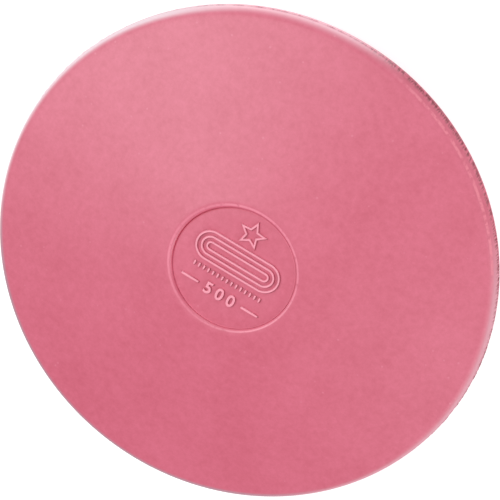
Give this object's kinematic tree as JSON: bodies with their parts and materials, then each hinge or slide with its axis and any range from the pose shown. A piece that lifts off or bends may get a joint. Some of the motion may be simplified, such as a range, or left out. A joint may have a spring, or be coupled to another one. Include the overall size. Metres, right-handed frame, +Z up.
{
  "type": "discus",
  "caption": "Round moulded rubber throwing discus: conical flanks, a thin rounded rim, a steel weight plate inside and a medallion with raised marks in each face.",
  "frame": {"origin": "under the disc's middle, on the flat of the lower face that it rests on", "axes": "+Z up out of the upper face, along the disc's axis; +X the reading direction of the marks on the upper face; +Y towards the star above them"},
  "size_m": [0.165, 0.165, 0.03],
  "materials": {
    "face_rubber": "pink vulcanised rubber, straight from a matt mould",
    "medallion_rubber": "the same pink rubber, with raised marks from the mould",
    "plate_steel": "mill finish sheet steel, stamped"
  },
  "bodies": {
    "root": {"upper_half": "face_rubber", "lower_half": "face_rubber", "weight_plate": "plate_steel", "upper_medallion": "medallion_rubber", "lower_medallion": "medallion_rubber"}
  },
  "joints": []
}
